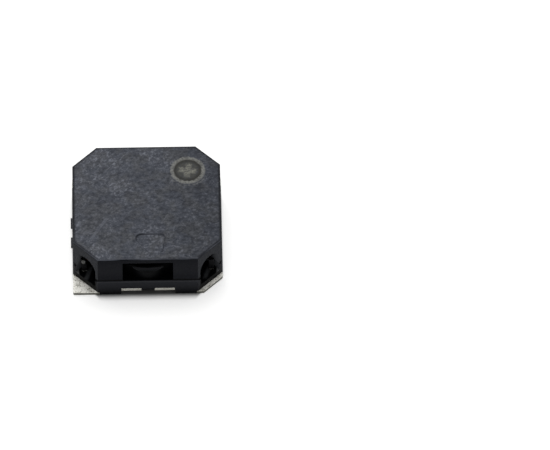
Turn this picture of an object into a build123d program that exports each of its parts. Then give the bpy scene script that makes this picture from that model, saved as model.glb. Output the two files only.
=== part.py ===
from build123d import *
import os
from math import sqrt

# Surface-mount magnetic buzzer with a sound window in its front side. All sizes in millimetres.
# Z is up and z = 0 is the solder plane. The origin is the middle of the footprint.
# The window is on the -Y side, and the plus mark's corner is +X +Y.

# Body
body_size = 8.5
body_height = 3.0
corner_chamfer = 1.4
stand_off = 0.05  # from the solder plane up to the base's underside
parting_height = 1.1  # where the case meets the base
case_step = 0.04  # the case is set back from the base on every side
lid_round = 0.1
parting_break = 0.06  # broken edge on both sides of the joint

# Case
lid_thickness = 0.33
case_wall = 0.41  # thinnest wall, between the round bore and a flat side
clamp_ring_width = 0.35
window_half_width = 1.43
arch_radius = 0.77
arch_centre_height = 1.64
arch_floor_height = 0.58  # the corner arches reach this far down into the base
gate_mark_depth = 0.08
gate_mark_draft = 40  # degrees, slope of the recess's sides
gate_mark_round = 0.28
gate_mark_corners = [(-0.9, 1.92), (1.02, 1.92), (0.78, 0.47), (0.1, 0.61)]  # x, and y from the front
vestige_x = 0.65
vestige_height = 2.45
vestige_radius = 0.14
vestige_proud = 0.03

# Base
ring_fit = 0.08  # between the base's ring wall and the case's bore
ring_wall = 0.42
lip_width = 0.22
lip_height = 0.12
clamp_gap = 0.02  # between the lip and the clamp ring above it
yoke_seat_height = 0.52
notch_width = 3.1
notch_depth = 0.58
notch_height = 0.4
rib_width = 0.65
rib_reach = 0.28
sight_hole_radius = 0.5
sight_hole_margin = 0.18  # yoke plate left outside each round hole
pocket_from_side = 1.73
pocket_from_front = 2.47
pocket_length = 1.42
pocket_width = 1.17
pocket_round = 0.15
pocket_depth = 0.12
lug_radius = 1.17
lug_setback = 0.19  # the lug's front lies this far behind the base's side
nub_length = 0.65
nub_proud = 0.1
nub_height = 0.2
nub_y = 0.72

# Terminal strips
strip_thickness = 0.2
pad_size = 1.5
pad_inner_chamfer = 0.55
pad_corner_round = 0.08
key_chamfer = 1.08  # outer corner of the pad that shows the polarity
arm_height = 0.32  # underside of the embedded arm
arm_cover = 0.05  # base material between a notch and the arm behind it
jog_run = 0.3
tab_inner_x = 0.37
tab_width = 1.15
ear_width = 0.3
ear_top_height = 1.38

# Magnetic circuit
yoke_fit = 0.05
yoke_insulation = 0.6  # from the embedded arms to the yoke plate's flats
yoke_thickness = 0.3
core_radius = 0.7
rivet_radius = 0.5
core_head_round = 0.06
core_gap = 0.1  # from the core's top to the diaphragm
magnet_fit = 0.05
magnet_width = 0.95
magnet_height = 0.68
coil_core_fit = 0.05
coil_magnet_gap = 0.4
coil_yoke_gap = 0.04
wire_rows = 5  # rows of turns that show on the winding's side
row_bulge = 0.02
lead_lift = 0.03
lead_radius = 0.04
lead_gap = 0.01
lead_bend = 0.3
lead_clear = 0.15  # from the case's bore to where the lead turns to the ear
solder_radius = 0.2
solder_gap = 0.04  # between the drop and the arch's side
solder_height = 0.34
solder_round = 0.12

# Diaphragm
diaphragm_rise = 0.2  # from the magnet's top to the diaphragm's seat
diaphragm_thickness = 0.08
diaphragm_fit = 0.03
armature_radius = 1.5
armature_thickness = 0.2
armature_break = 0.05

# Values that follow from those above
half_size = body_size / 2
case_size = body_size - 2 * case_step
bore_radius = case_size / 2 - case_wall
cavity_radius = bore_radius - clamp_ring_width
lid_underside = body_height - lid_thickness
ring_outer = bore_radius - ring_fit
ring_inner = ring_outer - ring_wall
magnet_outer = ring_inner - magnet_fit
magnet_inner = magnet_outer - magnet_width
coil_radius = magnet_inner - coil_magnet_gap
magnet_seat = yoke_seat_height + yoke_thickness
magnet_top = magnet_seat + magnet_height
seat_height = magnet_top + diaphragm_rise
lip_inner = ring_outer - lip_width
lip_top = seat_height + lip_height
diaphragm_radius = lip_inner - diaphragm_fit
coil_top = magnet_top + lead_lift
lead_height = coil_top + lead_gap + lead_radius
lead_reach = bore_radius + lead_clear
yoke_radius = magnet_outer
pad_inner = half_size - pad_size
arm_inner_y = pad_inner + pad_inner_chamfer
arm_outer_y = half_size - notch_depth - arm_cover
yoke_flat_y = arm_inner_y - yoke_insulation
sight_hole_x = yoke_radius - sight_hole_radius - sight_hole_margin
ear_y = pad_inner + strip_thickness / 2
ear_x = ear_y + (arch_radius - solder_radius - solder_gap) * sqrt(2)
over = 1.0  # how far a cutting shape runs past what it cuts


def cylinder(radius, low, high, x=0, y=0):
    """An upright cylinder between two heights."""
    return Pos(x, y, low) * Cylinder(radius, high - low, align=(Align.CENTER, Align.CENTER, Align.MIN))


def block(x_range, y_range, z_range):
    """A box between three pairs of limits."""
    corner = (x_range[0], y_range[0], z_range[0])
    size = [limits[1] - limits[0] for limits in (x_range, y_range, z_range)]
    return Pos(*corner) * Box(*size, align=(Align.MIN, Align.MIN, Align.MIN))


def chamfered_square(size, chamfer_length, low, high):
    """The body's outline, a square with cut corners, between two heights."""
    square = Rectangle(size, size)
    outline = chamfer(square.vertices(), chamfer_length)
    return Pos(0, 0, low) * extrude(outline, high - low)


def broken_edges(solid, height, amount):
    """The solid with a small chamfer on its outline at one height."""
    edges = solid.edges().filter_by_position(Axis.Z, height, height)
    return chamfer(edges, amount)


def corner_arches(inner_radius, low):
    """Four round-topped tunnels, one through each cut corner, that end on a cylinder."""
    shaft = Pos(0, low) * Rectangle(2 * arch_radius, arch_centre_height - low,
                                    align=(Align.CENTER, Align.MIN))
    outline = shaft + Pos(0, arch_centre_height) * Circle(arch_radius)
    tunnels = []
    for angle in (45, 135, 225, 315):
        outward = Vector(1, 0, 0).rotate(Axis.Z, angle)
        across = outward.rotate(Axis.Z, 90)
        plane = Plane(origin=(0, 0, 0), x_dir=across, z_dir=outward)
        tunnels.append(extrude(plane * outline, body_size))
    core = cylinder(inner_radius, -over, body_height + over)
    return [tunnel - core for tunnel in tunnels]


def upper_case():
    """The moulded cap: lid, walls, round bore, clamp ring, sound window and corner arches."""
    case_chamfer = corner_chamfer - case_step * (2 - sqrt(2))
    case = chamfered_square(case_size, case_chamfer, parting_height, body_height)
    lid_edges = case.edges().filter_by_position(Axis.Z, body_height, body_height)
    case = fillet(lid_edges, lid_round)
    case = broken_edges(case, parting_height, parting_break)
    case -= cylinder(bore_radius, parting_height - over, lip_top + clamp_gap)
    case -= cylinder(cavity_radius, parting_height, lid_underside)
    case -= block((-window_half_width, window_half_width), (-half_size - over, 0),
                  (parting_height - over, lid_underside))
    for arch in corner_arches(bore_radius, parting_height - over):
        case -= arch
    gate_corners = [(x, from_front - half_size) for x, from_front in gate_mark_corners]
    gate_outline = make_face(Polyline(*gate_corners, close=True))
    gate_outline = fillet(gate_outline.vertices(), gate_mark_round)
    gate_recess = extrude(gate_outline, 2 * gate_mark_depth, taper=-gate_mark_draft)
    case -= Pos(0, 0, body_height - gate_mark_depth) * gate_recess
    vestige_plane = Plane(origin=(vestige_x, case_size / 2, vestige_height), z_dir=(0, 1, 0))
    case += vestige_plane * extrude(Circle(vestige_radius), vestige_proud, taper=30)
    return case


def yoke_outline(clearance):
    """A disc with flats at its front and back."""
    return Circle(yoke_radius + clearance) & Rectangle(body_size, 2 * (yoke_flat_y + clearance))


def base_housing(strips):
    """The moulded base with its ring wall, moulded round the terminal strips."""
    base = chamfered_square(body_size, corner_chamfer, stand_off, parting_height)
    base = broken_edges(base, parting_height, parting_break)
    for arch in corner_arches(ring_outer, arch_floor_height):
        base -= arch
    base += cylinder(ring_outer, stand_off, lip_top)
    base += cylinder(lug_radius, stand_off, seat_height, 0, lug_radius + lug_setback - half_size)
    for side in (-1, 1):
        nub = block((-half_size - nub_proud, -half_size), (-nub_length / 2, nub_length / 2),
                    (arm_height, arm_height + nub_height))
        base += Pos(0, side * nub_y, 0) * nub
    base -= cylinder(lip_inner, seat_height, lip_top)
    base -= cylinder(ring_inner, magnet_seat, lip_top)
    base -= Pos(0, 0, yoke_seat_height) * extrude(yoke_outline(yoke_fit), yoke_thickness)
    for side in (-1, 1):
        base -= cylinder(sight_hole_radius, 0, magnet_seat, side * sight_hole_x)
        notch = block((-notch_width / 2, notch_width / 2), (half_size - notch_depth, half_size),
                      (0, stand_off + notch_height))
        rib = block((-rib_width / 2, rib_width / 2),
                    (half_size - notch_depth, half_size - notch_depth + rib_reach),
                    (stand_off, stand_off + notch_height))
        base -= Rot(0, 0, 90 - side * 90) * (notch - rib)
    mark_pocket = RectangleRounded(pocket_length, pocket_width, pocket_round)
    pocket_place = Pos(half_size - pocket_from_side, pocket_from_front - half_size)
    base -= pocket_place * extrude(mark_pocket, stand_off + pocket_depth)
    lead_slot = block((0, bore_radius), (-3 * lead_radius, 3 * lead_radius), (coil_top, lip_top))
    for angle in (45, 225):
        base -= Rot(0, 0, angle) * lead_slot
    for strip in strips:
        base -= strip
    return base


def pad_outline(keyed):
    """A square solder pad in the +X +Y corner."""
    middle = half_size - pad_size / 2
    outline = Pos(middle, middle) * Rectangle(pad_size, pad_size)
    inner_corner = outline.vertices().sort_by(lambda vertex: vertex.X + vertex.Y)[0]
    outline = chamfer(inner_corner, pad_inner_chamfer)
    outer_corner = outline.vertices().sort_by(lambda vertex: vertex.X + vertex.Y)[-1]
    if keyed:
        return chamfer(outer_corner, key_chamfer)
    return fillet(outer_corner, pad_corner_round)


def terminal(keyed=False):
    """One stamped strip in the +X +Y corner: pad, jog, embedded arm, notch tab and ear."""
    pad = extrude(pad_outline(keyed), strip_thickness)
    jog_start = pad_inner + strip_thickness
    lower = [(jog_start, 0), (pad_inner, 0), (pad_inner - jog_run, arm_height), (tab_inner_x, arm_height)]
    upper = [(x, z + strip_thickness) for x, z in reversed(lower)]
    side_plane = Plane(origin=(0, arm_outer_y, 0), x_dir=(1, 0, 0), z_dir=(0, -1, 0))
    side_view = make_face(Polyline(*lower, *upper, close=True))
    arm = extrude(side_plane * side_view, arm_outer_y - arm_inner_y)
    tab = block((tab_inner_x, tab_inner_x + tab_width), (arm_inner_y, half_size),
                (arm_height, arm_height + strip_thickness))
    ear = block((ear_x - ear_width / 2, ear_x + ear_width / 2), (pad_inner, pad_inner + strip_thickness),
                (0, ear_top_height))
    return pad + arm + tab + ear


def lead_wire():
    """One end of the winding, led over the magnet and through the ring wall to an ear."""
    start = coil_radius / sqrt(2)
    turn = lead_reach / sqrt(2)
    route = FilletPolyline(
        (start, start, lead_height),
        (turn, turn, lead_height),
        (ear_x, ear_y, ear_top_height + 2 * lead_radius),
        radius=lead_bend,
    )
    section = Plane(origin=route @ 0, z_dir=route % 0) * Circle(lead_radius)
    return sweep(section, path=route)


def solder_joint(strip, lead):
    """A drop of solder on the ear's end, round the wire's end."""
    drop = cylinder(solder_radius, ear_top_height - solder_height / 2, ear_top_height + solder_height / 2,
                    ear_x, ear_y)
    drop = fillet(drop.edges().filter_by(GeomType.CIRCLE), solder_round)
    return drop - strip - lead


def yoke_plate():
    """Iron plate under the magnet, with a hole for the core's rivet."""
    plate = extrude(yoke_outline(0), yoke_thickness) - cylinder(rivet_radius, -over, over)
    return Pos(0, 0, yoke_seat_height) * plate


def pole_core():
    """Turned iron core, riveted into the yoke plate."""
    core = cylinder(core_radius, magnet_seat, seat_height - core_gap)
    core = fillet(core.edges().sort_by(Axis.Z)[-1], core_head_round)
    return core + cylinder(rivet_radius, yoke_seat_height, magnet_seat)


def coil():
    """Self-supporting winding round the core, with its rows of turns."""
    low = magnet_seat + coil_yoke_gap
    pitch = (coil_top - low) / wire_rows
    inner = core_radius + coil_core_fit
    side = coil_radius - row_bulge
    outline = Polyline((side, coil_top), (inner, coil_top), (inner, low), (side, low))
    turns = []
    for row in range(wire_rows):
        bottom = low + row * pitch
        turns.append(ThreePointArc((side, bottom), (coil_radius, bottom + pitch / 2),
                                   (side, bottom + pitch)))
    profile = make_face([outline, *turns])
    return revolve(Plane.XZ * profile, Axis.Z)


def magnet_ring():
    """Ring magnet round the coil."""
    return cylinder(magnet_outer, magnet_seat, magnet_top) - cylinder(magnet_inner, 0, body_height)


def diaphragm():
    """Thin spring-steel disc on the base's seat."""
    return cylinder(diaphragm_radius, seat_height, seat_height + diaphragm_thickness)


def armature_disc():
    """Iron disc welded to the middle of the diaphragm."""
    low = seat_height + diaphragm_thickness
    disc = cylinder(armature_radius, low, low + armature_thickness)
    return chamfer(disc.edges().sort_by(Axis.Z)[-1], armature_break)


def build():
    """Every sub-part by name."""
    corner_strip = terminal()
    terminals = {
        "terminal_back_right": corner_strip,
        "terminal_back_left": mirror(corner_strip, about=Plane.YZ),
        "terminal_front_left": mirror(mirror(corner_strip, about=Plane.YZ), about=Plane.XZ),
        "terminal_front_right": mirror(terminal(keyed=True), about=Plane.XZ),
    }
    lead = lead_wire()
    joint = solder_joint(corner_strip, lead)
    parts = {
        "upper_case": upper_case(),
        "base_housing": base_housing(terminals.values()),
        **terminals,
        "yoke_plate": yoke_plate(),
        "pole_core": pole_core(),
        "coil": coil(),
        "magnet_ring": magnet_ring(),
        "diaphragm": diaphragm(),
        "armature_disc": armature_disc(),
        "coil_lead_start": lead,
        "solder_joint_start": joint,
        "coil_lead_finish": mirror(mirror(lead, about=Plane.YZ), about=Plane.XZ),
        "solder_joint_finish": mirror(mirror(joint, about=Plane.YZ), about=Plane.XZ),
    }
    return parts


os.makedirs("parts", exist_ok=True)
for name, solid in build().items():
    export_step(solid, f"parts/{name}.step")
    print(name, "written")
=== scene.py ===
import math

import bmesh
import bpy
from mathutils import Matrix, Vector


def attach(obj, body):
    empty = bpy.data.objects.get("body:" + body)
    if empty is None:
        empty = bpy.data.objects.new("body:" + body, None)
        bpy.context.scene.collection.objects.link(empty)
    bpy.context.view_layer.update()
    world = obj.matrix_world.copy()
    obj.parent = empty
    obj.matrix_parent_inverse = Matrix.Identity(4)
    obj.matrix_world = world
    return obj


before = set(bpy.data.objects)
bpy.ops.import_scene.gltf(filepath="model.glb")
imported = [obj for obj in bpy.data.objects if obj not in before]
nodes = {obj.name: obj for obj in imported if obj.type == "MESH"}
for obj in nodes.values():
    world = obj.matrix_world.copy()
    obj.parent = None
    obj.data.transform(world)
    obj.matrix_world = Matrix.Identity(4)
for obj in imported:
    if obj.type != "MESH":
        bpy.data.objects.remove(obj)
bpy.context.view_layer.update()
mm = 0.001  # the sizes below are in millimetres, Blender's are in metres
print("frame loaded:", len(nodes), "nodes")


# One socket of a node tree, so that shader maths reads as plain sums
class Wire:
    def __init__(self, tree, socket):
        self.tree = tree
        self.socket = socket

    def maths(self, operation, first, second=None):
        node = self.tree.nodes.new("ShaderNodeMath")
        node.operation = operation
        for place, value in enumerate((first, second)):
            if isinstance(value, Wire):
                self.tree.links.new(value.socket, node.inputs[place])
            elif value is not None:
                node.inputs[place].default_value = value
        return Wire(self.tree, node.outputs[0])

    def __add__(self, other):
        return self.maths("ADD", self, other)

    def __radd__(self, other):
        return self.maths("ADD", other, self)

    def __sub__(self, other):
        return self.maths("SUBTRACT", self, other)

    def __rsub__(self, other):
        return self.maths("SUBTRACT", other, self)

    def __mul__(self, other):
        return self.maths("MULTIPLY", self, other)

    def __rmul__(self, other):
        return self.maths("MULTIPLY", other, self)

    def __truediv__(self, other):
        return self.maths("DIVIDE", self, other)

    def __rtruediv__(self, other):
        return self.maths("DIVIDE", other, self)

    def __pow__(self, other):
        return self.maths("POWER", self, other)

    def __rpow__(self, other):
        return self.maths("POWER", other, self)

    def __neg__(self):
        return self * -1

    def __abs__(self):
        return self.maths("ABSOLUTE", self)

    def least(self, other):
        return self.maths("MINIMUM", self, other)

    def most(self, other):
        return self.maths("MAXIMUM", self, other)


def distance(x, y):
    return (x * x + y * y) ** 0.5


# The node tree of a material or world, the one way that nodes are made in it, and its masks
class Finish:
    def __init__(self, owner, shader="Principled BSDF"):
        owner.use_nodes = True
        self.tree = owner.node_tree
        self.shader = self.tree.nodes[shader]

    # Settings go first, because they decide which sockets a node has
    def node(self, kind, settings=None, sockets=None, output=0):
        made = self.tree.nodes.new("ShaderNode" + kind)
        for name, value in (settings or {}).items():
            setattr(made, name, value)
        for socket, value in (sockets or {}).items():
            self.feed(made.inputs[socket], value)
        return Wire(self.tree, made.outputs[output])

    def feed(self, socket, value):
        if isinstance(value, Wire):
            self.tree.links.new(value.socket, socket)
        else:
            socket.default_value = value

    def surface(self, values):
        for name, value in values.items():
            self.feed(self.shader.inputs[name], value)

    def place(self):
        return self.node("TexCoord", output="Object")  # in metres

    def axes(self):
        parts = [self.node("SeparateXYZ", None, {0: self.place()}, axis) for axis in range(3)]
        return [part * (1 / mm) for part in parts]  # in millimetres

    # How squarely the surface faces along an axis, from -1 to 1
    def facing(self, axis):
        return self.node("SeparateXYZ", None, {0: self.node("NewGeometry", output="Normal")}, axis)

    def sideward(self):
        return self.facing(0)

    def forward(self):
        return -self.facing(1)

    def upward(self):
        return self.facing(2)

    def noise(self, perMillimetre, detail, rough, stretch=(1, 1, 1), shift=(0, 0, 0)):
        point = self.node("VectorMath", {"operation": "MULTIPLY_ADD"},
                          {0: self.place(), 1: stretch, 2: [mm * part for part in shift]})
        return self.node("TexNoise", None, {"Vector": point, "Scale": perMillimetre / mm,
                                            "Detail": detail, "Roughness": rough})

    # Noise turned by an angle in degrees and drawn out, size times as far along each axis
    def strokes(self, turn, size, perMillimetre, detail, rough=0.5, shift=(0, 0, 0)):
        point = self.node("Mapping", {"vector_type": "TEXTURE"},
                          {"Vector": self.place(), "Location": [mm * part for part in shift],
                           "Rotation": (0, 0, math.radians(turn)), "Scale": size})
        return self.node("TexNoise", None, {"Vector": point, "Scale": perMillimetre / mm,
                                            "Detail": detail, "Roughness": rough})

    # Masks: limits are where the mask starts and where it is full
    def rise(self, value, limits):
        return self.node("MapRange", {"interpolation_type": "SMOOTHSTEP"},
                         {"Value": value, "From Min": limits[0], "From Max": limits[1]})

    def fall(self, value, limits):
        return 1 - self.rise(value, limits)

    def between(self, value, limits):
        return self.rise(value, limits[:2]) * self.fall(value, limits[2:])

    # A number that goes from one end to the other as the mask rises
    def spread(self, mask, ends):
        return ends[0] + mask * (ends[1] - ends[0])

    # Two noises added, the first with the given share
    def blend(self, first, second, share):
        return first * share + second * (1 - share)

    # Colours: a Mix node's colour sockets are inputs 6 and 7 and output 2
    def mix(self, share, first, second):
        return self.node("Mix", {"data_type": "RGBA"}, {0: share, 6: first, 7: second}, 2)

    def relief(self, height, depth, before=None):
        sockets = {"Height": height, "Distance": depth * mm, "Strength": 1.0}
        if before is not None:
            sockets["Normal"] = before
        return self.node("Bump", None, sockets)


# Camera, at the photograph's angle
view = {
    "azimuth": -1.18,  # degrees, turned a little to the left
    "elevation": 49.9,
    "distance": 600.0,
    "aim": (7.300, 0.728, 0.0),
    "imageWidth": 550,
    "pixelsWide": 10515,  # focal length in pixels of the photograph
    "sensor": 36.0,
    "nearest": 10.0,
    "farthest": 20000.0,
}


def makeCamera():
    turn = math.radians(view["azimuth"])
    rise = math.radians(view["elevation"])
    back = Vector((math.sin(turn) * math.cos(rise), -math.cos(turn) * math.cos(rise),
                   math.sin(rise)))
    data = bpy.data.cameras.new("photoCamera")
    data.sensor_width = view["sensor"]
    data.lens = view["sensor"] * view["pixelsWide"] / view["imageWidth"]
    data.clip_start = view["nearest"] * mm
    data.clip_end = view["farthest"] * mm
    camera = bpy.data.objects.new("photoCamera", data)
    camera.location = (Vector(view["aim"]) + back * view["distance"]) * mm
    camera.rotation_euler = back.to_track_quat("Z", "Y").to_euler()
    bpy.context.scene.collection.objects.link(camera)
    bpy.context.scene.camera = camera


makeCamera()
print("camera placed")


# Floor, world and lamp
studio = {
    "floorSize": 1600.0,
    "floorColour": (0.90, 0.90, 0.895, 1),
    "floorPaintedShadow": (0.16, 0.16, 0.16, 1),  # painted shadow: the floor's darkest tone, under the object
    "floorRoughness": 0.9,
    "floorLift": (0.46, 0.46, 0.46, 1),  # brings the floor to white outside the shadow
    "sideLift": (0.54, 0.54, 0.54, 1),  # the same beside the object
    "liftReach": (0, 0.55),  # how far outside the object the lift starts and is full
    "paintedShadowReach": (-0.08, 0.27),
    "halfSide": 4.24,
    "sideFade": 8,  # the shadow is this many times narrower beside the object
    "cornerReach": 5.05,
    "cornerFade": 3,
    "sideAcross": (4.25, 4.45),
    "sideAlong": (2.6, 4.6),
    "worldLevel": 0.28,  # light from all round, the world itself shows white
    "lampLevel": 0.67,  # level 1 lights a white floor to white
    "lampSize": 420.0,
    "lampPlace": (-30.0, 150.0, 430.0),
}


def makeFloor():
    bpy.ops.mesh.primitive_plane_add(size=studio["floorSize"] * mm)
    floor = bpy.context.object
    floor.name = "floor"
    material = bpy.data.materials.new("paleFloor")
    finish = Finish(material)
    across, along, _ = finish.axes()
    across, along = abs(across), abs(along)
    beside = (across - studio["halfSide"]) * studio["sideFade"]
    byCorner = (across + along) * math.sqrt(0.5) - studio["cornerReach"]
    outside = (along - studio["halfSide"]).most(beside).most(byCorner * studio["cornerFade"])
    # painted shadow: the floor's colour darkens under the object and fades out just around it
    shadowedGround = finish.mix(finish.rise(outside, studio["paintedShadowReach"]),
                        studio["floorPaintedShadow"], studio["floorColour"])
    sides = finish.rise(across, studio["sideAcross"]) * finish.fall(along, studio["sideAlong"])
    lift = finish.mix(sides, studio["floorLift"], studio["sideLift"])
    lifted = shownRays(finish) * finish.rise(outside, studio["liftReach"])
    finish.surface({"Base Color": shadowedGround, "Roughness": studio["floorRoughness"],
                    "Specular IOR Level": 0.0, "Emission Strength": 1.0,
                    "Emission Color": finish.mix(lifted, (0, 0, 0, 1), lift)})
    floor.data.materials.append(material)


# 1 for the rays that show the floor or the world, 0 for those that are only lit by them
def shownRays(finish):
    camera, glossy, transmission = [
        finish.node("LightPath", output=name)
        for name in ("Is Camera Ray", "Is Glossy Ray", "Is Transmission Ray")]
    return camera.most(glossy).most(transmission)


def makeWorld():
    world = bpy.data.worlds.new("studioWorld")
    bpy.context.scene.world = world
    finish = Finish(world, "Background")
    strength = shownRays(finish) * (1 - studio["worldLevel"]) + studio["worldLevel"]
    finish.surface({"Color": (1, 1, 1, 1), "Strength": strength})


def makeLamp():
    place = Vector(studio["lampPlace"])
    data = bpy.data.lights.new("overheadSoftbox", "AREA")
    data.size = studio["lampSize"] * mm
    data.energy = studio["lampLevel"] * (math.pi * place.length * mm) ** 2
    lamp = bpy.data.objects.new("overheadSoftbox", data)
    lamp.location = place * mm
    lamp.rotation_euler = place.to_track_quat("Z", "Y").to_euler()
    bpy.context.scene.collection.objects.link(lamp)


makeFloor()
makeWorld()
makeLamp()
bpy.context.scene.view_settings.view_transform = "Standard"
print("studio lit")


# In the looks below a pair is where a tone starts and where it is full, or the two ends of a
# number. A four is where a tone starts, is full, begins to fade and is gone. Heights and
# distances are in millimetres, facings and noises go up to 1, and a share is how much shows.

# Walls of the corner arches, which face round the part's axis, not away from it
archWalls = {
    "facing": (0.6, 0.8),
    "fromAxis": (3.84, 3.92),
    "across": (2.2, 2.3),
}


def archWallMask(finish, across, along):
    fromAxis = distance(across, along)
    turned = abs(finish.sideward() * along + finish.forward() * across) / fromAxis
    return finish.rise(turned, archWalls["facing"]) \
        * finish.rise(fromAxis, archWalls["fromAxis"]) \
        * finish.rise(abs(across), archWalls["across"])


# Hairline scratches in patches, on the lid and the underside
scratches = {
    "lines": ({"turn": -28, "shift": (0, 0, 0), "halfWidth": (0.0015, 0.010)},
              {"turn": -66, "shift": (4, 0, 0), "halfWidth": (0.0015, 0.010)},
              {"turn": 35, "shift": (9, 0, 0), "halfWidth": (0.0012, 0.008)}),
    "size": (1, 14, 1),  # drawn out along the line
    "perMillimetre": 2.6,
    "patch": {"perMillimetre": 0.7, "detail": 1, "rough": 0.5, "shift": (5, 9, 0)},
    "patchFrom": (0.52, 0.66),
}


def scratchMask(finish):
    patches = finish.rise(finish.noise(**scratches["patch"]), scratches["patchFrom"])
    drawn = None
    for line in scratches["lines"]:
        noise = finish.strokes(line["turn"], scratches["size"], scratches["perMillimetre"],
                               detail=0, shift=line["shift"])
        thin = finish.fall(abs(noise - 0.5), line["halfWidth"])
        drawn = thin if drawn is None else drawn.most(thin)
    return drawn * patches


# Black moulded case: scuffed matt lid, plain dark walls; the lid's far paler tone is partly its
# matt finish, partly painted light from above
caseLook = {
    "lid": (0.060, 0.066, 0.081, 1),
    "lidPale": (0.215, 0.226, 0.262, 1),
    "lidDark": (0.020, 0.022, 0.029, 1),
    "lidWarm": (0.067, 0.070, 0.077, 1),
    "lidEdgeShade": (0.016, 0.017, 0.020, 1),
    "scratch": (0.19, 0.20, 0.235, 1),
    # painted highlight on the front edges
    "rimHighlight": (0.105, 0.112, 0.135, 1),
    "wall": (0.0074, 0.0082, 0.0112, 1),
    "wallPale": (0.0170, 0.0180, 0.0235, 1),
    "wallBand": (0.030, 0.031, 0.036, 1),  # faint sheen half way up the walls
    # painted light on the chamfered corner faces
    "corner": (0.0290, 0.0310, 0.0370, 1),
    # painted light on the arches' side walls
    "tunnel": (0.1500, 0.1560, 0.1700, 1),
    # painted shadow in the joint between case and base
    "seamShadow": (0.0006, 0.0006, 0.0008, 1),
    "roughness": (0.375, 0.625),
    "specular": 0.04,
    "rippleDepth": 0.020,
    "fleckDepth": 0.005,

    "ripple": {"perMillimetre": 4.8, "detail": 4, "rough": 0.66, "stretch": (0.88, 1.12, 1)},
    "fleck": {"perMillimetre": 8.0, "detail": 3, "rough": 0.65, "shift": (0, 7, 0)},
    "cloud": {"perMillimetre": 0.55, "detail": 3, "rough": 0.5, "shift": (3, 1, 0)},
    "hue": {"perMillimetre": 1.3, "detail": 2, "rough": 0.5, "shift": (11, 5, 2)},
    "scuff": {"turn": -38, "size": (0.50, 1.15, 1), "perMillimetre": 3.4, "detail": 3,
              "rough": 0.6},

    # where the lid's finish goes, the gate mark's recess included
    "lidFacing": (0.80, 0.985),
    "lidHeight": (2.88, 2.91),
    "gateCentre": (0.06, -3.05),
    "gateHalfWidth": (1.05, 1.15),
    "gateHalfDepth": (0.78, 0.85),
    "gateWallFacing": (0.15, 0.45),  # painted shade: the recess's back wall takes the walls' dark colour
    "gateShare": (0.7, 0.1),

    # the lid's tones, in the order in which they are laid on
    "warmFrom": (0.42, 0.62),
    "pitFrom": (0.50, 0.63),
    "pitShare": 0.68,
    "mottleRipple": 0.65,
    "mottleFrom": (0.50, 0.62),
    "mottleCloud": (0.38, 0.62),
    "mottleShare": (0.27, 0.57),
    "wornSlant": 0.3,  # the lid is more worn towards its left, and painted paler there as a sheen
    "wornLeft": (-4.2, 3.0),
    "strokeScuff": 0.7,
    "strokeFrom": (0.52, 0.66),
    "strokeCloud": (0.40, 0.62),
    "strokeShare": (0.15, 0.85),
    "strokeWorn": (0.25, 1.10),
    "washCloud": (0.35, 0.70),
    "washShare": (0.03, 0.10),
    "washSheen": 0.06,
    "shadeAcross": (1.0, 3.6),
    "shadeShare": 0.30,
    "scratchShare": 0.40,
    "specksPerMillimetre": 2.1,
    "speckRadius": (0.04, 0.10),
    "speckCloud": (0.44, 0.52),
    "speckShare": 0.8,

    # the lid's outline: painted shade along its edges, and a painted highlight along the front
    "cornerCut": 0.768,  # the corners' distance from the axis, less the sides'
    "edgeReach": (4.01, 4.15),
    "edgeShare": 0.85,
    "edgeFront": (3.95, 4.1),
    "edgeFrontShare": (1, 0.4),
    "shine": {"perMillimetre": 0.8, "detail": 1, "rough": 0.5, "shift": (6, 0, 0)},
    "shineFrom": (0.46, 0.56),
    "shineFront": (4.08, 4.14),
    "shineShare": 0.8,

    # the walls
    "wallFleck": (0.5, 0.7),
    "wallFleckShare": 0.5,
    "bandHeight": (1.4, 1.9, 2.3, 2.85),
    "bandShare": 0.22,
    "cornerFacing": (0.5, 0.66, 0.75, 0.9),
    "cornerFromAxis": (4.6, 4.7),
    "rimUpward": (0.35, 0.60),
    "rimForward": (0.05, 0.35),
    "rimCloud": (0.3, 0.7),
    "rimHeight": (2.7, 2.9),
    "seamHeight": (1.22, 1.30),
    "tunnelHeight": (2.5, 2.6),
}


def lidMask(finish, across, along, height):
    look = caseLook
    centreAcross, centreAlong = look["gateCentre"]
    gate = finish.fall(abs(across - centreAcross), look["gateHalfWidth"]) \
        * finish.fall(abs(along - centreAlong), look["gateHalfDepth"])
    # painted shade on the gate recess's back wall
    backWall = finish.rise(finish.forward(), look["gateWallFacing"])
    gate = gate * finish.spread(backWall, look["gateShare"])
    # the lid's colour goes on faces that point up: partly its matt finish, partly painted light
    # from above
    flat = finish.rise(finish.upward(), look["lidFacing"])
    return flat.most(gate) * finish.rise(height, look["lidHeight"])


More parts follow.
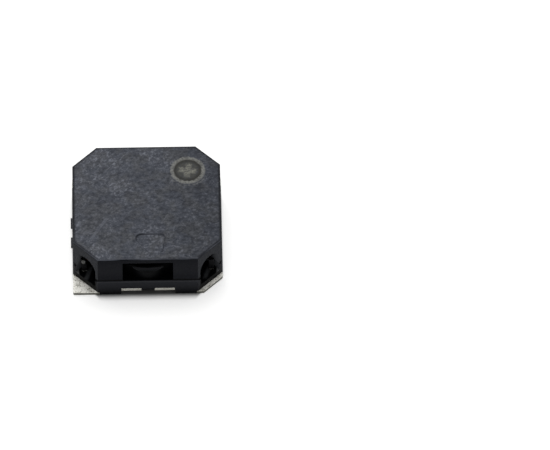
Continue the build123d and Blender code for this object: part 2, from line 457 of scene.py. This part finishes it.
def scuffedLid(finish, across, along, ripple, fleck, cloud):
    look = caseLook
    lid = finish.mix(finish.rise(finish.noise(**look["hue"]), look["warmFrom"]),
                     look["lid"], look["lidWarm"])
    pits = finish.rise(1 - ripple, look["pitFrom"])
    lid = finish.mix(pits * look["pitShare"], lid, look["lidDark"])
    # pale flecks of the moulded texture, which also stand in as painted glints of light
    mottle = finish.rise(finish.blend(ripple, fleck, look["mottleRipple"]), look["mottleFrom"])
    clouded = finish.spread(finish.rise(cloud, look["mottleCloud"]), look["mottleShare"])
    lid = finish.mix(mottle * clouded, lid, look["lidPale"])
    worn = finish.rise(along * look["wornSlant"] - across, look["wornLeft"])
    scuff = finish.blend(finish.strokes(**look["scuff"]), fleck, look["strokeScuff"])
    clouded = finish.spread(finish.rise(cloud, look["strokeCloud"]), look["strokeShare"])
    strokes = finish.rise(scuff, look["strokeFrom"]) * clouded
    lid = finish.mix(strokes * finish.spread(worn, look["strokeWorn"]), lid, look["lidPale"])
    # painted sheen: the wash is paler towards the lid's left
    wash = finish.spread(finish.rise(cloud, look["washCloud"]), look["washShare"])
    lid = finish.mix(wash + worn * look["washSheen"], lid, look["lidPale"])
    # painted shade: the lid is darkened towards its right
    rightShade = finish.rise(across, look["shadeAcross"])
    lid = finish.mix(rightShade * look["shadeShare"], lid, look["lidDark"])
    lid = finish.mix(scratchMask(finish) * look["scratchShare"], lid, look["scratch"])
    specks = finish.node("TexVoronoi", {"feature": "F1"},
                         {"Vector": finish.place(), "Scale": look["specksPerMillimetre"] / mm})
    specks = finish.fall(specks, look["speckRadius"]) * finish.rise(cloud, look["speckCloud"])
    return finish.mix(specks * look["speckShare"], lid, look["scratch"])


def edgedLid(finish, lid, across, along):
    look = caseLook
    # painted shade round the lid's outline
    toSide = abs(across).most(abs(along))
    toCorner = (abs(across) + abs(along)) * math.sqrt(0.5) - look["cornerCut"]
    front = finish.spread(finish.rise(-along, look["edgeFront"]), look["edgeFrontShare"])
    shade = finish.rise(toSide.most(toCorner), look["edgeReach"]) * front
    lid = finish.mix(shade * look["edgeShare"], lid, look["lidEdgeShade"])
    # painted highlight along the lid's front edge
    shine = finish.rise(-along, look["shineFront"]) \
        * finish.rise(finish.noise(**look["shine"]), look["shineFrom"])
    return finish.mix(shine * look["shineShare"], lid, look["rimHighlight"])


def caseWalls(finish, across, along, height, fleck, cloud):
    look = caseLook
    walls = finish.mix(finish.rise(fleck, look["wallFleck"]) * look["wallFleckShare"],
                       look["wall"], look["wallPale"])
    band = finish.between(height, look["bandHeight"])
    walls = finish.mix(band * look["bandShare"], walls, look["wallBand"])
    # painted light: the chamfered corner faces are made paler
    corner = finish.between(abs(finish.sideward()), look["cornerFacing"]) \
        * finish.rise(distance(across, along), look["cornerFromAxis"])
    walls = finish.mix(corner, walls, look["corner"])
    # painted highlight on the rounded edges that face up and to the front
    rimHighlight = finish.rise(finish.upward(), look["rimUpward"]) \
        * finish.rise(finish.forward(), look["rimForward"]) \
        * finish.rise(cloud, look["rimCloud"]) * finish.rise(height, look["rimHeight"])
    walls = finish.mix(rimHighlight, walls, look["rimHighlight"])
    # painted shadow in the joint between case and base, along the walls' lower edge
    walls = finish.mix(finish.fall(height, look["seamHeight"]), walls, look["seamShadow"])
    # painted light on the arches' side walls
    tunnel = archWallMask(finish, across, along) * finish.fall(height, look["tunnelHeight"])
    return finish.mix(tunnel, walls, look["tunnel"])


# Polarity sign, laser marked on the lid: a plus in a ring, on a browned ground
sign = {
    "centre": (2.36, 2.37),
    "turn": -9.0,  # degrees
    "ringRadius": 0.90,  # middle of the ring's stroke
    "ringHalfStroke": (0.045, 0.155),
    "armLength": 0.47,
    "armHalf": 0.165,
    "armEdge": (-0.07, 0.08),
    "colour": (0.245, 0.246, 0.232, 1),
    "armColour": (0.245, 0.243, 0.210, 1),
    "burn": (0.072, 0.071, 0.060, 1),
    "burnEdge": (0.030, 0.029, 0.025, 1),
    "burnReach": (0.84, 0.96),
    "burnShare": (0.35, 0.85),
    "burnEdgeReach": (0.52, 0.74),
    "burnEdgeShare": 0.65,
    "ringShare": (0.45, 0.95),
    "armShare": (0.35, 1.0),
    "ghostRadius": 1.13,  # faint second pass outside the ring, in front
    "ghostHalfStroke": (0.01, 0.07),
    "ghostFront": (0.35, 0.8),
    "ghostShare": 0.4,
    "raggedAcross": 0.16,  # how far the noise pulls the outlines about
    "raggedAlong": 0.18,
    "patchFleck": 0.55,
    "patchFrom": (0.43, 0.58),
}


def signedLid(finish, lid, across, along, ripple, fleck):
    centreAcross, centreAlong = sign["centre"]
    x = across - centreAcross + (ripple - 0.5) * sign["raggedAcross"]
    y = along - centreAlong - (fleck - 0.5) * sign["raggedAlong"]
    reach = distance(x, y)
    patchy = finish.rise(finish.blend(fleck, ripple, sign["patchFleck"]), sign["patchFrom"])
    burn = finish.fall(reach, sign["burnReach"])
    lid = finish.mix(burn * finish.spread(patchy, sign["burnShare"]), lid, sign["burn"])
    burnEdge = finish.rise(reach, sign["burnEdgeReach"]) * burn
    lid = finish.mix(burnEdge * sign["burnEdgeShare"], lid, sign["burnEdge"])
    ring = finish.fall(abs(reach - sign["ringRadius"]), sign["ringHalfStroke"])
    lid = finish.mix(ring * finish.spread(patchy, sign["ringShare"]), lid, sign["colour"])
    ghost = finish.fall(abs(reach - sign["ghostRadius"]), sign["ghostHalfStroke"]) \
        * finish.rise(-y, sign["ghostFront"])
    lid = finish.mix(ghost * patchy * sign["ghostShare"], lid, sign["colour"])
    turn = math.radians(sign["turn"])
    u = abs(x * math.cos(turn) + y * math.sin(turn))
    v = abs(y * math.cos(turn) - x * math.sin(turn))
    outsideArms = (u.most(v) - sign["armLength"]).most(u.least(v) - sign["armHalf"])
    plus = finish.fall(outsideArms, sign["armEdge"])
    return finish.mix(plus * finish.spread(patchy, sign["armShare"]), lid, sign["armColour"])


def finishCase():
    look = caseLook
    material = bpy.data.materials.new("caseMoulding")
    finish = Finish(material)
    across, along, height = finish.axes()
    ripple = finish.noise(**look["ripple"])
    fleck = finish.noise(**look["fleck"])
    cloud = finish.noise(**look["cloud"])
    lid = scuffedLid(finish, across, along, ripple, fleck, cloud)
    lid = signedLid(finish, lid, across, along, ripple, fleck)
    lid = edgedLid(finish, lid, across, along)
    walls = caseWalls(finish, across, along, height, fleck, cloud)
    grain = finish.relief(fleck, look["fleckDepth"])
    finish.surface({"Base Color": finish.mix(lidMask(finish, across, along, height), walls, lid),
                    "Roughness": finish.spread(fleck, look["roughness"]),
                    "Specular IOR Level": look["specular"],
                    "Normal": finish.relief(ripple, look["rippleDepth"], grain)})
    return material


# Black moulded base
baseLook = {
    "wall": (0.0240, 0.0252, 0.0305, 1),
    "wallPale": (0.033, 0.034, 0.041, 1),
    "footShade": (0.0016, 0.0017, 0.0021, 1),  # painted shade, darker towards the floor
    "ledgeLight": (0.062, 0.064, 0.072, 1),
    "lugTopLight": (0.110, 0.114, 0.124, 1),
    # painted shade: the base's inside made near black
    "inside": (0.0012, 0.0013, 0.0017, 1),
    "litStreak": (0.060, 0.062, 0.067, 1),  # painted light: a pale streak along the floor of each arch
    "sheen": (0.2200, 0.2240, 0.2300, 1),  # on the arch floors' outer side and the ring wall
    # painted light on the arches' side walls
    "tunnel": (0.0900, 0.0940, 0.1040, 1),
    "underside": (0.020, 0.021, 0.025, 1),
    "undersidePale": (0.060, 0.061, 0.068, 1),
    "scratch": (0.085, 0.087, 0.095, 1),
    "roughness": (0.335, 0.585),
    "specular": 0.04,
    "mottleDepth": 0.010,
    "fleckDepth": 0.005,

    "fleck": {"perMillimetre": 9.0, "detail": 4, "rough": 0.7, "shift": (0, 7, 0)},
    "mottle": {"perMillimetre": 3.6, "detail": 4, "rough": 0.6},

    "wallFleck": (0.5, 0.7),
    "wallFleckShare": 0.5,
    "footHeight": (-0.15, 1.0),
    "insideReach": (4.12, 4.17),

    # painted light on the arches' floors, and on the ring wall that stands behind them
    "floorFacing": (0.7, 0.9),
    "floorHeight": (0.62, 0.7),
    "trailAcross": 3.37,  # where the streak crosses the middle of the arch
    "trailMiddle": 3.15,
    "trailLean": 0.095,
    "trailHalfWidth": (0.03, 0.20),
    "trailAlong": (2.5, 2.8, 3.45, 3.75),
    "outerSide": (3.86, 3.96, 4.10, 4.16),
    "ringFacing": (0.78, 0.84, 0.90, 0.95),
    "ringFromAxis": (3.68, 3.71, 3.74, 3.78),

    # painted light on the ledge at the seam, and on the top of the lug behind the sound window
    "ledgeFacing": (0.3, 0.7),
    "ledgeReach": (4.17, 4.20),
    "lugCentre": -2.89,
    "lugRadius": (1.25, 1.30),
    "lugFacing": (0.6, 0.9),
    "lugHeight": (1.6, 1.68, 1.72, 1.76),
    "lugFront": (3.78, 4.04),
    "lugFrontShare": (1, 0.3),

    "bottomFacing": (0.6, 0.95),
    "bottomPale": (0.48, 0.66),
    "bottomFleck": 0.5,
    "scratchShare": 0.6,
}


def archFloors(finish, colour, across, along, height):
    look = baseLook
    floor = finish.rise(finish.upward(), look["floorFacing"]) \
        * finish.fall(height, look["floorHeight"])
    lean = across * (look["trailMiddle"] - abs(along)) * look["trailLean"]
    fromTrail = abs(abs(across) - look["trailAcross"] - lean)
    litStreak = finish.fall(fromTrail, look["trailHalfWidth"]) \
        * finish.between(abs(along), look["trailAlong"])
    colour = finish.mix(litStreak * floor, colour, look["litStreak"])
    outerSide = finish.between(abs(across), look["outerSide"]) \
        * finish.fall(abs(across).most(abs(along)), look["insideReach"])
    return finish.mix(outerSide * floor, colour, look["sheen"])


def finishBase():
    look = baseLook
    material = bpy.data.materials.new("baseMoulding")
    finish = Finish(material)
    across, along, height = finish.axes()
    upward = finish.upward()
    toSide = abs(across).most(abs(along))
    fleck = finish.noise(**look["fleck"])
    mottle = finish.noise(**look["mottle"])
    colour = finish.mix(finish.rise(fleck, look["wallFleck"]) * look["wallFleckShare"],
                        look["wall"], look["wallPale"])
    # painted shade: the base darkens towards the floor
    colour = finish.mix(finish.fall(height, look["footHeight"]), colour, look["footShade"])
    # painted shade: everything inside the base's outline made near black
    colour = finish.mix(finish.fall(toSide, look["insideReach"]), colour, look["inside"])
    colour = archFloors(finish, colour, across, along, height)
    ringWall = finish.between(abs(finish.sideward()), look["ringFacing"]) \
        * finish.between(distance(across, along), look["ringFromAxis"])
    colour = finish.mix(ringWall, colour, look["sheen"])
    # painted light on the arches' side walls
    colour = finish.mix(archWallMask(finish, across, along), colour, look["tunnel"])
    # painted light on the up-facing ledge at the seam
    ledgeLight = finish.rise(upward, look["ledgeFacing"]) * finish.rise(toSide, look["ledgeReach"])
    colour = finish.mix(ledgeLight, colour, look["ledgeLight"])
    # painted light on the top of the lug behind the sound window
    lug = finish.rise(upward, look["lugFacing"]) \
        * finish.fall(distance(across, along - look["lugCentre"]), look["lugRadius"]) \
        * finish.between(height, look["lugHeight"]) \
        * finish.spread(finish.rise(-along, look["lugFront"]), look["lugFrontShare"])
    colour = finish.mix(lug, colour, look["lugTopLight"])
    pale = finish.rise(finish.blend(fleck, mottle, look["bottomFleck"]), look["bottomPale"])
    bottom = finish.mix(pale, look["underside"], look["undersidePale"])
    bottom = finish.mix(scratchMask(finish) * look["scratchShare"], bottom, look["scratch"])
    colour = finish.mix(finish.rise(-upward, look["bottomFacing"]), colour, bottom)
    grain = finish.relief(fleck, look["fleckDepth"])
    finish.surface({"Base Color": colour, "Roughness": finish.spread(fleck, look["roughness"]),
                    "Specular IOR Level": look["specular"],
                    "Normal": finish.relief(mottle, look["mottleDepth"], grain)})
    return material


# Tin plating of the terminal strips
plating = {
    "pale": (0.97, 0.96, 0.90, 1),
    "dull": (0.60, 0.59, 0.53, 1),
    "pit": (0.26, 0.245, 0.21, 1),
    "cutEdge": (0.060, 0.060, 0.050, 1),  # sheared sides of the pads, darker than the faces: partly bare cut metal, partly painted shade
    "tabEnd": (0.36, 0.35, 0.31, 1),
    "ear": (0.012, 0.012, 0.013, 1),  # painted shade: the ears inside the arches are made near black
    "metallic": (0.50, 1.0),  # plating, and bare metal on cut edges and ears
    "roughness": (0.45, 0.70),
    "grainDepth": 0.012,
    "grain": {"perMillimetre": 11.0, "detail": 4, "rough": 0.75},
    "stain": {"perMillimetre": 2.5, "detail": 3, "rough": 0.6, "shift": (2, 0, 4)},
    "stainShare": 0.5,
    "paleFrom": (0.43, 0.55),
    "pitFrom": (0.55, 0.66),
    "pitShare": 0.85,
    "sideFacing": (0.25, 0.75),
    "padHeight": (0.22, 0.28),
    "cutShare": 0.9,
    "tabHeight": (0.28, 0.31),
    "tabShare": 0.7,
    "earHeight": (0.56, 0.62),
}


def tinPlating():
    look = plating
    material = bpy.data.materials.new("tinPlating")
    finish = Finish(material)
    height = finish.axes()[2]
    grain = finish.noise(**look["grain"])
    stain = finish.noise(**look["stain"])
    pale = finish.rise(finish.blend(stain, grain, look["stainShare"]), look["paleFrom"])
    colour = finish.mix(pale, look["dull"], look["pale"])
    pits = finish.rise(1 - grain, look["pitFrom"])
    colour = finish.mix(pits * look["pitShare"], colour, look["pit"])
    side = finish.fall(abs(finish.upward()), look["sideFacing"])
    cut = side * finish.fall(height, look["padHeight"])
    colour = finish.mix(cut * look["cutShare"], colour, look["cutEdge"])
    tab = side * finish.rise(height, look["tabHeight"])
    colour = finish.mix(tab * look["tabShare"], colour, look["tabEnd"])
    # painted shade on the ears inside the arches
    ear = finish.rise(height, look["earHeight"])
    finish.surface({"Base Color": finish.mix(ear, colour, look["ear"]),
                    "Metallic": finish.spread(cut.most(ear), look["metallic"]),
                    "Roughness": finish.spread(stain, look["roughness"]),
                    "Normal": finish.relief(grain, look["grainDepth"])})
    return material


# The other metals and the magnet, each with its own grain
innerLooks = {
    "nickelPlating": {"colour": (0.80, 0.79, 0.76, 1), "worn": (0.62, 0.61, 0.58, 1),
                      "metallic": 1.0, "roughness": (0.12, 0.32),
                      "perMillimetre": 6.0, "depth": 0.003},
    # painted shade: the solder is made far darker than bare solder, as it sits in the arches'
    # shade
    "solder": {"colour": (0.08, 0.08, 0.08, 1), "worn": (0.05, 0.05, 0.045, 1),
               "metallic": 1.0, "roughness": (0.18, 0.38),
               "perMillimetre": 8.0, "depth": 0.006},
    "springSteel": {"colour": (0.56, 0.56, 0.57, 1), "worn": (0.40, 0.41, 0.43, 1),
                    "metallic": 1.0, "roughness": (0.23, 0.43),
                    "perMillimetre": 10.0, "depth": 0.002},
    "enamelledWire": {"colour": (0.22, 0.085, 0.036, 1), "worn": (0.13, 0.046, 0.02, 1),
                      "metallic": 0.9, "roughness": (0.20, 0.40),
                      "perMillimetre": 5.0, "depth": 0.004},
    "magnet": {"colour": (0.13, 0.13, 0.14, 1), "worn": (0.07, 0.07, 0.08, 1),
               "metallic": 0.2, "roughness": (0.50, 0.70),
               "perMillimetre": 12.0, "depth": 0.008},
}
innerGrain = {"detail": 4, "rough": 0.65, "wornBelow": (0.42, 0.62)}


def grainyFinish(name):
    look = innerLooks[name]
    material = bpy.data.materials.new(name)
    finish = Finish(material)
    grain = finish.noise(look["perMillimetre"], innerGrain["detail"], innerGrain["rough"])
    colour = finish.mix(finish.rise(grain, innerGrain["wornBelow"]), look["worn"], look["colour"])
    finish.surface({"Base Color": colour, "Metallic": look["metallic"],
                    "Roughness": finish.spread(grain, look["roughness"]),
                    "Normal": finish.relief(grain, look["depth"])})
    return material


# Plain raised bars in the mould mark's pocket, under the base
pocketBars = {
    "centre": (2.52, -1.78),
    "count": 3,
    "pitch": 0.30,
    "width": 0.13,
    "length": 0.72,
    "top": 0.175,  # inside the pocket's ceiling
    "bottom": 0.085,
    "round": 0.02,
    "segments": 2,
}


def makePocketBars(material):
    x, y = pocketBars["centre"]
    top, bottom = pocketBars["top"], pocketBars["bottom"]
    size = Vector((pocketBars["width"], pocketBars["length"], top - bottom))
    mesh = bmesh.new()
    for bar in range(pocketBars["count"]):
        fromMiddle = (bar - (pocketBars["count"] - 1) / 2) * pocketBars["pitch"]
        middle = Vector((x + fromMiddle, y, (top + bottom) / 2))
        place = Matrix.LocRotScale(middle * mm, None, size * mm)
        bmesh.ops.create_cube(mesh, size=1, matrix=place)
    bmesh.ops.bevel(mesh, geom=mesh.edges[:], offset=pocketBars["round"] * mm,
                    segments=pocketBars["segments"], affect="EDGES")
    bars = bpy.data.objects.new("pocket_bars", bpy.data.meshes.new("pocket_bars"))
    mesh.to_mesh(bars.data)
    mesh.free()
    bpy.context.scene.collection.objects.link(bars)
    bars.data.materials.append(material)
    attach(bars, "root")


def dress(names, material):
    for name in names:
        materials = nodes[name].data.materials
        materials.clear()
        materials.append(material)


dress(["upper_case"], finishCase())
baseMoulding = finishBase()
dress(["base_housing"], baseMoulding)
makePocketBars(baseMoulding)
strips = [name for name in nodes if name.startswith("terminal_")]
dress(strips, tinPlating())
dress(["yoke_plate", "pole_core"], grainyFinish("nickelPlating"))
dress(["solder_joint_start", "solder_joint_finish"], grainyFinish("solder"))
dress(["diaphragm", "armature_disc"], grainyFinish("springSteel"))
dress(["coil", "coil_lead_start", "coil_lead_finish"], grainyFinish("enamelledWire"))
dress(["magnet_ring"], grainyFinish("magnet"))
print("finishes made")


# Broken edges: moulded and stamped edges are never sharp
softening = {
    "moulded": 0.022,
    "stamped": 0.025,
    "segments": 2,
    "edgeAngle": 32,  # degrees, the least bend that counts as an edge
    "flatAngle": 0.4,  # degrees, triangles within this are joined first
    "weld": 0.0005,
}


# A modifier that shades the whole part smooth, before its edges are bevelled
def makeSmoothing():
    group = bpy.data.node_groups.new("smoothSkin", "GeometryNodeTree")
    group.interface.new_socket("Geometry", in_out="INPUT", socket_type="NodeSocketGeometry")
    group.interface.new_socket("Geometry", in_out="OUTPUT", socket_type="NodeSocketGeometry")
    before = group.nodes.new("NodeGroupInput")
    drop = group.nodes.new("GeometryNodeRemoveAttribute")
    drop.inputs["Name"].default_value = "custom_normal"
    smooth = group.nodes.new("GeometryNodeSetShadeSmooth")
    after = group.nodes.new("NodeGroupOutput")
    for first, second in ((before, drop), (drop, smooth), (smooth, after)):
        group.links.new(first.outputs[0], second.inputs[0])
    return group


def softenEdges(names, width, smoothing):
    for name in names:
        modifiers = nodes[name].modifiers
        modifiers.new("smooth", "NODES").node_group = smoothing
        modifiers.new("weld", "WELD").merge_threshold = softening["weld"] * mm
        flat = modifiers.new("flat", "DECIMATE")
        flat.decimate_type = "DISSOLVE"
        flat.angle_limit = math.radians(softening["flatAngle"])
        bevel = modifiers.new("bevel", "BEVEL")
        bevel.width = width * mm
        bevel.segments = softening["segments"]
        bevel.limit_method = "ANGLE"
        bevel.angle_limit = math.radians(softening["edgeAngle"])
        bevel.harden_normals = True


smoothing = makeSmoothing()
softenEdges(["upper_case", "base_housing"], softening["moulded"], smoothing)
softenEdges(strips, softening["stamped"], smoothing)
print("edges softened")
